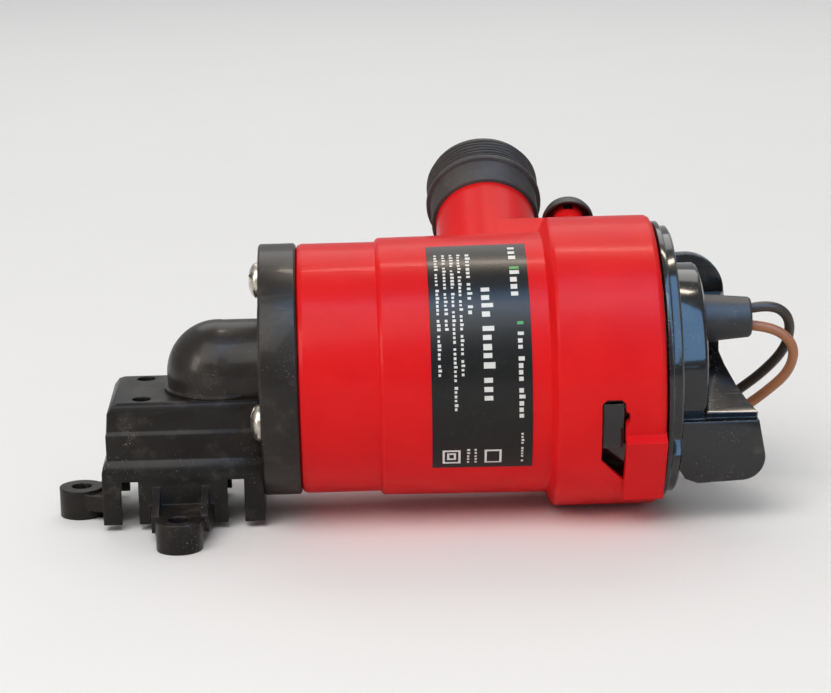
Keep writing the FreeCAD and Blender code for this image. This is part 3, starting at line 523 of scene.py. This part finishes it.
class Skin:
    """A mesh under construction; points are millimetres in the part's frame."""

    def __init__(self, name: str) -> None:
        """Start an empty mesh.

        Args:
            name: the piece's name.
        """
        self.name = name
        self.mesh = bmesh.new()
        self.spin = Matrix.Identity(4)

    def rows(self, rows: Sequence[Sequence[Vector]], around: bool = True, along: bool = False) -> list:
        """Join rows of points with quads.

        Args:
            rows: rows of equally many points.
            around: whether each row closes on itself.
            along: whether the last row joins the first.

        Returns:
            The rows of mesh vertices.
        """
        grid = [[self.mesh.verts.new((self.spin @ point) * MM) for point in row] for row in rows]
        pairs = list(zip(grid, grid[1:])) + ([(grid[-1], grid[0])] if along else [])
        for low, high in pairs:
            count = len(low)
            for index in range(count if around else count - 1):
                after = (index + 1) % count
                self.mesh.faces.new((low[index], low[after], high[after], high[index]))
        return grid

    def lid(self, ring: Sequence[Any]) -> None:
        """Close a ring of mesh vertices with one face."""
        self.mesh.faces.new(ring)

    def piece(self, finish: Any, body: Body, replaced: Iterable[str] = (),
              sharp_deg: float = 40.0) -> bpy.types.Object:
        """Turn the mesh into a piece of the pump.

        Args:
            finish: the finish it wears.
            body: the moving group it rides on.
            replaced: CAD nodes it stands for.
            sharp_deg: edges sharper than this stay crisp.

        Returns:
            The new object.
        """
        bmesh.ops.remove_doubles(self.mesh, verts=self.mesh.verts, dist=1e-6)
        bmesh.ops.recalc_face_normals(self.mesh, faces=self.mesh.faces)
        data = bpy.data.meshes.new(self.name)
        self.mesh.to_mesh(data)
        self.mesh.free()
        return dressed(data, self.name, finish, body, replaced, sharp_deg)


def dressed(data: bpy.types.Mesh, name: str, finish: Any, body: Optional[Body],
            replaced: Iterable[str] = (), sharp_deg: float = 40.0) -> bpy.types.Object:
    """Make an object from a mesh and give it its finish and group.

    Args:
        data: the mesh.
        name: the piece's name.
        finish: the finish it wears.
        body: the group it rides on, or None when it bends between two.
        replaced: CAD nodes it stands for.
        sharp_deg: edges sharper than this stay crisp.

    Returns:
        The new object.
    """
    data.materials.clear()
    data.materials.append(finish.paint())
    data.shade_smooth()
    data.set_sharp_from_angle(angle=math.radians(sharp_deg))
    item = bpy.data.objects.new(name, data)
    bpy.context.scene.collection.objects.link(item)
    if body is not None:
        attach(item, body.value)
    replaced = list(replaced)
    if replaced:
        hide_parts(*replaced)
    LOG.info("piece %s: %d faces", name, len(data.polygons))
    return item


def dress_node(name: str, finish: Any) -> None:
    """Give a CAD node its finish.

    Args:
        name: the CAD node.
        finish: the finish it wears.
    """
    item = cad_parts[name]
    item.data.materials.clear()
    item.data.materials.append(finish.paint())
    LOG.info("node %s wears %s", name, finish.name)


def softened(node: str, name: str, radius_mm: float, sharp_deg: float = 28.0) -> bpy.types.Mesh:
    """Copy a CAD node's mesh with its edges rounded as far as its shortest edges allow.

    Args:
        node: the CAD node.
        name: the new mesh's name.
        radius_mm: the widest the rounding may be.
        sharp_deg: edges sharper than this are rounded.

    Returns:
        The rounded mesh.
    """
    mesh = bmesh.new()
    mesh.from_mesh(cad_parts[node].data)
    bmesh.ops.remove_doubles(mesh, verts=mesh.verts, dist=0.05 * MM)
    bmesh.ops.dissolve_limit(mesh, angle_limit=math.radians(0.6), verts=mesh.verts, edges=mesh.edges)
    limit = math.radians(sharp_deg)
    keen = [edge for edge in mesh.edges if edge.is_manifold and edge.calc_face_angle(0.0) > limit]
    bmesh.ops.bevel(mesh, geom=keen, offset=radius_mm * MM, offset_type="OFFSET", segments=3, profile=0.5,
                    affect="EDGES", clamp_overlap=True, harden_normals=False)
    data = bpy.data.meshes.new(name)
    mesh.to_mesh(data)
    mesh.free()
    return data


def fit(x: float, y: float, z: float) -> Vector:
    """A point counted from the pump axis, in the part's frame."""
    return Vector((AXIS_X + x, y, AXIS_Z + z))


def round_axis(x: float, radius: float, angle_deg: float) -> Vector:
    """A point on a circle about the pump axis, its angle counted from the top towards the near side."""
    angle = math.radians(angle_deg)
    return fit(x, -radius * math.sin(angle), radius * math.cos(angle))


# ---------------------------------------------------------------- sub-assemblies


@dataclass
class SupplyWire:
    """One supply wire: out of the gland, down to the floor, into a tied coil, with a stripped end."""

    name: str
    finish: Insulation
    slot: Slot
    route: Sequence[Point]
    coil: tuple[float, float]
    diameter: float = 2.4
    columns: tuple[float, float] = (15.65, 13.15)
    layers: tuple[float, ...] = (1.75, 4.25, 6.75, 9.25)
    top: float = 11.7
    steps: int = 16
    step_over: tuple[float, float] = (0.78, 0.2)
    blend_point: int = 4
    tail: Sequence[tuple[float, float]] = ((-4.6, -15.1), (-9.6, -12.6), (-12.8, -7.6), (-13.5, -1.6))

    def turns(self) -> list[tuple[float, float]]:
        """List the coil's turns in winding order.

        Returns:
            Radius and height of each turn.
        """
        order: list[tuple[float, float]] = []
        for index, height in enumerate(self.layers):
            columns = self.columns if index % 2 == 0 else self.columns[::-1]
            order += [(radius, height) for radius in columns]
        return order

    def coiled(self) -> list[Point]:
        """Wind the coil clockwise, seen from above.

        Returns:
            Its control points.
        """
        spots = self.turns() + [(self.columns[0], self.top)]
        widen = 1.0 / math.cos(math.pi / self.steps)
        points: list[Point] = []
        for turn, (here, after) in enumerate(zip(spots, spots[1:])):
            for step in range(self.steps):
                share = step / self.steps
                blend = min(max((share - self.step_over[0]) / self.step_over[1], 0.0), 1.0)
                blend = blend * blend * (3 - 2 * blend)
                radius = (here[0] + (after[0] - here[0]) * blend) * (1 + (widen - 1) * 0.5)
                height = here[1] + (after[1] - here[1]) * blend
                angle = -math.pi / 2 - math.tau * share
                points.append((self.coil[0] + radius * math.cos(angle),
                               self.coil[1] + radius * math.sin(angle), height))
        return points

    def line(self) -> list[Point]:
        """Join route, coil and loose end.

        Returns:
            All control points from the gland to the loose end.
        """
        loose = [(self.coil[0] + x, self.coil[1] + y, self.top) for x, y in self.tail]
        return [*self.route, *self.coiled(), *loose]

    def build(self) -> bpy.types.Object:
        """Returns:
            The insulation.
        """
        curve = bpy.data.curves.new(self.name, "CURVE")
        curve.dimensions = "3D"
        curve.resolution_u = 8
        curve.use_fill_caps = True
        spline = curve.splines.new("NURBS")
        points = self.line()
        spline.points.add(len(points) - 1)
        for point, place in zip(spline.points, points):
            point.co = (place[0] * MM, place[1] * MM, place[2] * MM, 1.0)
        spline.order_u = 3
        spline.use_endpoint_u = True
        holder = bpy.data.objects.new(f"{self.name}_line", curve)
        bpy.context.scene.collection.objects.link(holder)
        centre = [vertex.co.copy() for vertex in bpy.data.meshes.new_from_object(holder).vertices]
        curve.bevel_depth = self.diameter * MM / 2
        curve.bevel_resolution = 5
        tube = bpy.data.meshes.new_from_object(holder)
        tube.name = f"{self.name}_insulation"
        bpy.data.objects.remove(holder)
        wire = dressed(tube, f"{self.name}_insulation", self.finish, None,
                       [self.name, f"{self.name}_coil", f"{self.name}_tail"], 60.0)
        tip = self.strands(centre[-1], (centre[-1] - centre[-3]).normalized())
        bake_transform(wire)
        return wire

    def strands(self, start: Vector, heading: Vector) -> bpy.types.Object:
        """Twisted bare strands beyond the insulation.

        Args:
            start: where the insulation ends, in metres.
            heading: direction of the wire there.

        Returns:
            The piece.
        """
        skin = Skin(f"{self.name}_strands")
        skin.spin = Matrix.Translation(start / MM) @ heading.to_track_quat("Z", "Y").to_matrix().to_4x4()
        levels, steps, strands = 40, 42, 3.5
        bare, sunk, lay = 7.9, 0.3, 0.9
        rows = []
        for level in range(levels + 1):
            height = bare * level / levels
            core = 0.74 if level < levels - 1 else 0.55
            row = []
            for step in range(steps):
                angle = math.tau * step / steps
                radius = core + 0.06 * abs(math.sin(strands * angle + lay * height))
                row.append(Vector((radius * math.cos(angle), radius * math.sin(angle), height - sunk)))
            rows.append(row)
        grid = skin.rows(rows)
        skin.lid(grid[-1])
        return skin.piece(Finish.TINNED, Body.PUMP, [f"{self.name}_tip"], 70.0)


@dataclass
class PumpHousing:
    """Red moulded pump body."""

    def build(self) -> None:
        """Dress the housing."""
        dress_node("pump_housing", Finish.RED)


@dataclass
class InletCover:
    """Black flange with the elbow, its seal and its three screws."""

    screw_circle: float = 20.7
    screw_angles: tuple[float, ...] = (-8.4, 111.6, 231.6)
    rounding: float = 0.3
    head_radius: float = 4.15
    head_height: float = 2.6
    shank_radius: float = 1.98
    shank_length: float = 15.5
    slot_turns: tuple[float, ...] = (35.0, 85.0, 135.0)
    slot_half: float = 0.55
    slot_floor: float = 1.35

    def screw(self, index: int, place_deg: float) -> bpy.types.Object:
        """Make one screw: shank and domed slotted head.

        Args:
            index: number of the screw.
            place_deg: its angle about the pump axis.

        Returns:
            The piece.
        """
        skin = Skin(f"screw_{index}")
        spot = round_axis(0.0, self.screw_circle, place_deg)
        slot_turn = math.radians(self.slot_turns[index])
        turn = Matrix.Rotation(math.radians(-90), 4, "Y") @ Matrix.Rotation(slot_turn, 4, "Z")
        skin.spin = Matrix.Translation(spot) @ turn
        steps = 72
        top = self.head_height
        profile = [(-self.shank_length, self.shank_radius), (-0.05, self.shank_radius),
                   (0.0, self.head_radius - 0.05), (0.25, self.head_radius), (0.9, self.head_radius - 0.02),
                   (1.4, self.head_radius - 0.35), (1.85, self.head_radius - 1.0),
                   (2.2, self.head_radius - 1.9), (2.45, self.head_radius - 2.8), (top, 0.25)]
        rows = []
        for height, radius in profile:
            row = []
            for step in range(steps):
                angle = math.tau * step / steps
                x, y = radius * math.cos(angle), radius * math.sin(angle)
                sunk = height > 1.0 and abs(x) < self.slot_half
                row.append(Vector((x, y, min(height, self.slot_floor) if sunk else height)))
            rows.append(row)
        grid = skin.rows(rows)
        skin.lid(grid[-1])
        skin.lid(grid[0])
        stands_for = ["cover_screws"] if index == 0 else []
        return skin.piece(Finish.SCREW, Body.PUMP, stands_for, 35.0)

    def build(self) -> None:
        """Dress the cover and its seal, and make the screw heads."""
        data = softened("inlet_cover", "cover_and_elbow", self.rounding)
        dressed(data, "cover_and_elbow", Finish.COVER, Body.PUMP, ["inlet_cover"], 35.0)
        dress_node("cover_seal", Finish.RUBBER)
        for index, angle in enumerate(self.screw_angles):
            self.screw(index, angle)


@dataclass
class StrainerBase:
    """Open-bottomed strainer box with slotted skirts and mounting lugs."""

    rounding: float = 0.45

    def build(self) -> None:
        """Make the rounded strainer."""
        data = softened("strainer_base", "strainer_shell", self.rounding)
        dressed(data, "strainer_shell", Finish.STRAINER, Body.PUMP, ["strainer_base"], 35.0)


@dataclass
class LeaningFrame:
    """Upright frame of the pieces that stand on the leaning port line."""

    x: float
    offset: float
    tilt_deg: float = 66.0

    def matrix(self) -> Matrix:
        """Place the frame beside the pump axis.

        Returns:
            Its matrix, with local Z up the piece.
        """
        tilt = math.radians(self.tilt_deg)
        spot = fit(self.x, -self.offset * math.cos(tilt), self.offset * math.sin(tilt))
        return Matrix.Translation(spot) @ Matrix.Rotation(-tilt, 4, "X")


@dataclass
class DischargePort:
    """Black hose connection with a plain barrel, a lip and a helical thread."""

    stand: LeaningFrame = field(default_factory=lambda: LeaningFrame(54.1, 12.0))
    bore: float = 9.5
    socket: float = 10.95
    socket_end: float = 46.1
    barrel: float = 12.9
    foot: float = 39.5
    barrel_end: float = 47.2
    lip: float = 13.9
    lip_end: float = 48.7
    root: float = 12.9
    crest: float = 13.55
    pitch: float = 1.17
    end: float = 57.5

    def thread_radius(self, height: float, share: float) -> float:
        """Follow the thread round the port.

        Args:
            height: height on the port.
            share: share of a turn.

        Returns:
            The thread's radius there.
        """
        phase = ((height - self.lip_end - 0.5) / self.pitch - share) % 1.0
        rise = 1.0 - abs(phase - 0.5) * 2.6
        tooth = min(max(rise * 1.5, 0.0), 1.0)
        fade = min(max((height - self.lip_end - 0.25) / 0.5, 0.0), 1.0)
        fade *= min(max((self.end - 1.25 - height) / 0.7, 0.0), 1.0)
        return self.root + (self.crest - self.root) * tooth * fade

    def build(self) -> None:
        """Make the port."""
        skin = Skin("discharge_barrel")
        skin.spin = self.stand.matrix()
        steps = 160
        section = [(self.socket_end, self.bore), (self.socket_end, self.socket),
                   (self.foot, self.socket), (self.foot, self.barrel - 0.15),
                   (self.foot + 0.15, self.barrel), (self.barrel_end - 0.1, self.barrel),
                   (self.barrel_end, self.barrel + 0.1), (self.barrel_end, self.lip - 0.25),
                   (self.barrel_end + 0.25, self.lip), (self.lip_end - 0.3, self.lip),
                   (self.lip_end, self.lip - 0.35), (self.lip_end, self.root)]
        rows = [[self.at(radius, height, i / steps) for i in range(steps)] for height, radius in section]
        count = 66
        for level in range(1, count + 1):
            height = self.lip_end + (self.end - 0.5 - self.lip_end) * level / count
            rows.append([self.at(self.thread_radius(height, i / steps), height, i / steps)
                         for i in range(steps)])
        for height, radius in ((self.end - 0.15, self.root - 0.35), (self.end, self.root - 0.7),
                               (self.end, self.bore + 0.3), (self.end - 0.3, self.bore)):
            rows.append([self.at(radius, height, i / steps) for i in range(steps)])
        skin.rows(rows, along=True)
        skin.piece(Finish.PORT, Body.PUMP, ["discharge_port"], 50.0)

    @staticmethod
    def at(radius: float, height: float, share: float) -> Vector:
        """Point on the port at a radius, height and share of a turn."""
        return Vector((radius * math.cos(math.tau * share), radius * math.sin(math.tau * share), height))


@dataclass
class VentValve:
    """Rubber umbrella valve over the vent stub."""

    def build(self) -> None:
        """Dress the valve."""
        dress_node("vent_valve", Finish.RUBBER)


@dataclass
class RatingLabel:
    """Printed film wrapped on the barrel; its lines of print are plain bars."""

    left: float = 38.3
    right: float = 60.8
    start_deg: float = 13.0
    sweep_deg: float = 114.0
    lift: float = 0.12
    ink_height: float = 0.142
    barrel_low: float = 29.8
    draft: float = 0.4
    barrel_start: float = 27.7
    barrel_length: float = 37.3

    def barrel_radius(self, x: float) -> float:
        """Radius of the drafted barrel under the label."""
        return self.barrel_low + self.draft * (x - self.barrel_start) / self.barrel_length

    def patch(self, skin: Skin, box: tuple[float, float, float, float], lift: float) -> None:
        """Add one curved rectangle to a skin.

        Args:
            skin: the mesh under construction.
            box: left, right, top and bottom as shares of the label.
            lift: height above the barrel.
        """
        left, right, top, bottom = box
        x0, x1 = (self.left + (self.right - self.left) * share for share in (left, right))
        steps = max(1, round((bottom - top) * self.sweep_deg / 2.0))
        rows = []
        for step in range(steps + 1):
            angle = self.start_deg + self.sweep_deg * (top + (bottom - top) * step / steps)
            rows.append([round_axis(x, self.barrel_radius(x) + lift, angle) for x in (x0, x1)])
        skin.rows(rows, around=False)

    def film(self) -> None:
        """Black film with its cut edges."""
        skin = Skin("label_film")
        rows = []
        for step in range(101):
            angle = self.start_deg + self.sweep_deg * step / 100
            edge = [(self.left, 0.0), (self.left, self.lift - 0.02), (self.left + 0.02, self.lift),
                    (self.right - 0.02, self.lift), (self.right, self.lift - 0.02), (self.right, 0.0)]
            rows.append([round_axis(x, self.barrel_radius(x) + lift, angle) for x, lift in edge])
        skin.rows(rows, around=False)
        skin.piece(Finish.FILM, Body.PUMP, ["rating_label"], 30.0)

    def blocks(self, skin: Skin, left: float, right: float, top: float, bottom: float, pitch: float,
               seed: int) -> None:
        """Add one line of stand-in print: plain blocks of uneven height, in uneven groups.

        Args:
            skin: the mesh under construction.
            left: foot of the line, as a share of the label.
            right: head of the line.
            top: where the line starts.
            bottom: where the line ends.
            pitch: mean room of one block.
            seed: choice of blocks.
        """
        pick = random.Random(seed)
        at = top
        group = pick.randint(3, 8)
        while at + pitch < bottom:
            head = right - (right - left) * pick.choice((0.0, 0.25, 0.25, 0.3))
            self.patch(skin, (left, head, at, at + pitch * pick.uniform(0.5, 0.72)), self.ink_height)
            group -= 1
            at += pitch * (1.0 if group else 1.7)
            group = group or pick.randint(3, 8)

    def outline(self, skin: Skin, left: float, right: float, top: float, bottom: float) -> None:
        """Add an empty box.

        Args:
            skin: the mesh under construction.
            left: foot of the box, as a share of the label.
            right: head of the box.
            top: where the box starts.
            bottom: where the box ends.
        """
        across, along = 0.022, 0.008
        for box in ((left, right, top, top + along), (left, right, bottom - along, bottom),
                    (left, left + across, top, bottom), (right - across, right, top, bottom)):
            self.patch(skin, box, self.ink_height)

    def marks(self) -> None:
        """White and green marks."""
        white = Skin("label_print")
        lines = [(0.82, 0.915, 0.03, 0.15, 0.03), (0.82, 0.915, 0.175, 0.36, 0.034),
                 (0.865, 0.925, 0.44, 0.8, 0.025), (0.885, 0.915, 0.83, 0.985, 0.014),
                 (0.52, 0.635, 0.255, 0.73, 0.034), (0.385, 0.435, 0.07, 0.385, 0.021)]
        lines += [(0.3, 0.335, 0.07, 0.63, 0.0165), (0.225, 0.26, 0.07, 0.745, 0.0165),
                  (0.15, 0.185, 0.07, 0.44, 0.0165), (0.07, 0.105, 0.07, 0.615, 0.0165)]
        lines += [(0.345, 0.375, 0.9, 0.985, 0.016), (0.42, 0.45, 0.9, 0.985, 0.016)]
        for index, (left, right, top, bottom, pitch) in enumerate(lines):
            self.blocks(white, left, right, top, bottom, pitch, index)
        self.outline(white, 0.1, 0.28, 0.905, 0.975)
        self.outline(white, 0.145, 0.235, 0.92, 0.955)
        self.outline(white, 0.52, 0.69, 0.905, 0.975)
        white.piece(Finish.INK, Body.PUMP)
        green = Skin("label_accents")
        for bar in ((0.82, 0.915, 0.154, 0.168), (0.865, 0.925, 0.4, 0.412)):
            self.patch(green, bar, self.ink_height)
        green.piece(Finish.GREEN_INK, Body.PUMP)

    def build(self) -> None:
        """Make the film and its print."""
        self.film()
        self.marks()


@dataclass
class CartridgeCap:
    """Glossy twist-off cap with its finger wings, wire gland and seal."""

    rounding: float = 0.35

    def build(self) -> None:
        """Make the rounded cap and dress what is on it."""
        data = softened("cartridge_cap", "twist_cap", self.rounding)
        dressed(data, "twist_cap", Finish.GLOSS, Body.CARTRIDGE, ["cartridge_cap"], 35.0)
        dress_node("wire_gland", Finish.RUBBER)
        dress_node("cartridge_seal", Finish.RUBBER)


@dataclass
class MotorAndRotor:
    """Everything inside: shell, magnets, bushings, brush gear, armature and impeller."""

    wears: Mapping[str, Any] = field(default_factory=lambda: {
        "motor_shell": Finish.COVER, "shaft_seal": Finish.RUBBER, "motor_can": Finish.STEEL,
        "front_bushing": Finish.BRONZE, "rear_bushing": Finish.BRONZE, "field_magnets": Finish.MAGNET,
        "end_bell": Finish.COVER, "brushes": Finish.CARBON, "brush_springs": Finish.BRONZE,
        "supply_tabs": Finish.BRONZE, "inner_leads": Finish.BROWN_WIRE, "motor_shaft": Finish.STEEL,
        "armature_core": Finish.STEEL, "armature_windings": Finish.COPPER, "commutator": Finish.COPPER,
        "impeller": Finish.WHITE})

    def build(self) -> None:
        """Dress the inner pieces."""
        for name, finish in self.wears.items():
            dress_node(name, finish)


@dataclass
class Panel:
    """One soft light panel."""

    name: str
    place: Point
    aim: Point
    size: tuple[float, float]
    watts: float
    colour: Colour = (1.0, 1.0, 1.0)
    gloss_only: bool = False

    def build(self) -> None:
        """Hang the panel."""
        light = bpy.data.lights.new(self.name, "AREA")
        light.shape = "RECTANGLE"
        light.size, light.size_y = self.size
        light.energy = self.watts
        light.color = self.colour
        item = bpy.data.objects.new(self.name, light)
        item.location = self.place
        item.rotation_euler = (Vector(self.aim) - Vector(self.place)).to_track_quat("-Z", "Y").to_euler()
        item.visible_diffuse = not self.gloss_only
        bpy.context.scene.collection.objects.link(item)


@dataclass
class Studio:
    """Pale floor, soft light and the camera."""

    panels: Sequence[Panel] = (
        Panel("key_panel", (-0.3, -0.66, 1.0), (0.05, 0.0, 0.03), (1.0, 0.95), 10.0, (1.0, 0.97, 0.93)),
        Panel("sky_panel", (0.52, -0.62, 0.75), (0.12, -0.02, 0.034), (0.64, 1.5), 15.0, (0.26, 0.56, 1.0),
              gloss_only=True),
        Panel("strip_panel", (0.25, 0.27, 0.86), (0.12, -0.01, 0.04), (0.5, 0.07), 2.4, (1.0, 0.86, 0.72),
              gloss_only=True),
        Panel("left_panel", (-0.62, -0.42, 0.36), (0.0, 0.0, 0.04), (0.22, 0.4), 2.2, (1.0, 0.9, 0.82),
              gloss_only=True),
        Panel("back_panel", (0.1, 0.9, 0.9), (0.05, 0.0, 0.03), (1.2, 0.6), 4.0, (1.0, 0.98, 0.95)),
    )
    ambient: float = 0.42
    eye: Point = (0.03679, -0.64242, 0.19234)
    right: Point = (0.99923, -0.03300, -0.02121)
    up: Point = (0.02832, 0.23269, 0.97214)
    forward: Point = (0.02715, 0.97199, -0.23345)
    lens: float = 123.4

    def camera(self) -> None:
        """Set up the camera."""
        data = bpy.data.cameras.new("camera")
        data.lens = self.lens
        data.sensor_width = 36.0
        data.clip_start = 0.02
        item = bpy.data.objects.new("camera", data)
        back = -Vector(self.forward)
        matrix = Matrix((self.right, self.up, back)).transposed().to_4x4()
        matrix.translation = self.eye
        item.matrix_world = matrix
        bpy.context.scene.collection.objects.link(item)
        bpy.context.scene.camera = item

    def floor(self) -> None:
        """Lay the floor just under the lugs."""
        skin = Skin("floor")
        half, below = 6000.0, -0.05
        skin.rows([[Vector((x, y, below)) for x in (-half, half)] for y in (-half, half)], around=False)
        bmesh.ops.recalc_face_normals(skin.mesh, faces=skin.mesh.faces)
        data = bpy.data.meshes.new("floor")
        skin.mesh.to_mesh(data)
        skin.mesh.free()
        data.materials.append(StudioFloor().paint())
        item = bpy.data.objects.new("floor", data)
        bpy.context.scene.collection.objects.link(item)

    def ambience(self) -> None:
        """Even light from all round, and a plain colour transform."""
        world = bpy.data.worlds.new("studio")
        world.use_nodes = True
        world.node_tree.nodes["Background"].inputs[0].default_value = (0.96, 0.98, 1.0, 1.0)
        world.node_tree.nodes["Background"].inputs[1].default_value = self.ambient
        bpy.context.scene.world = world
        bpy.context.scene.view_settings.view_transform = "Standard"

    def build(self) -> None:
        """Set everything up round the pump."""
        self.floor()
        self.ambience()
        for panel in self.panels:
            panel.build()
        self.camera()


BLACK_ROUTE: Sequence[Point] = (
    (132.85, 0.0, 44.95), (137.9, 0.3, 45.8), (142.6, 2.2, 41.8), (142.2, 5.6, 34.2), (137.4, 9.0, 27.5),
    (130.4, 12.6, 21.2), (124.2, 18.2, 14.6), (118.6, 25.6, 7.6), (112.0, 33.4, 2.4), (101.6, 36.35, 1.75))
BROWN_ROUTE: Sequence[Point] = (
    (132.85, 0.0, 40.85), (138.4, -0.9, 40.5), (143.2, -0.6, 35.8), (142.4, 2.4, 29.0), (137.2, 5.6, 23.2),
    (130.8, 9.2, 17.5), (124.6, 14.2, 11.6), (117.0, 20.4, 5.6), (107.4, 25.6, 2.2), (95.4, 28.6, 1.3),
    (83.0, 30.8, 1.35), (72.0, 32.2, 1.5), (63.6, 32.35, 1.75))


def main() -> None:
    """Build the pump piece by piece, then the studio."""
    logging.basicConfig(level=logging.INFO, format="%(name)s: %(message)s")
    SupplyWire("black_wire", Finish.BLACK_WIRE, Slot.BLACK_WIRE, BLACK_ROUTE, (94.0, 52.0)).build()
    SupplyWire("brown_wire", Finish.BROWN_WIRE, Slot.BROWN_WIRE, BROWN_ROUTE, (56.0, 48.0)).build()
    for name in ("black_wire_tie", "brown_wire_tie"):
        dress_node(name, Finish.STRAP)
    for assembly in (PumpHousing(), InletCover(), StrainerBase(), DischargePort(), VentValve(),
                     RatingLabel(), CartridgeCap(), MotorAndRotor(), Studio()):
        assembly.build()
        LOG.info("built %s", type(assembly).__name__)


if __name__ == "__main__":
    main()
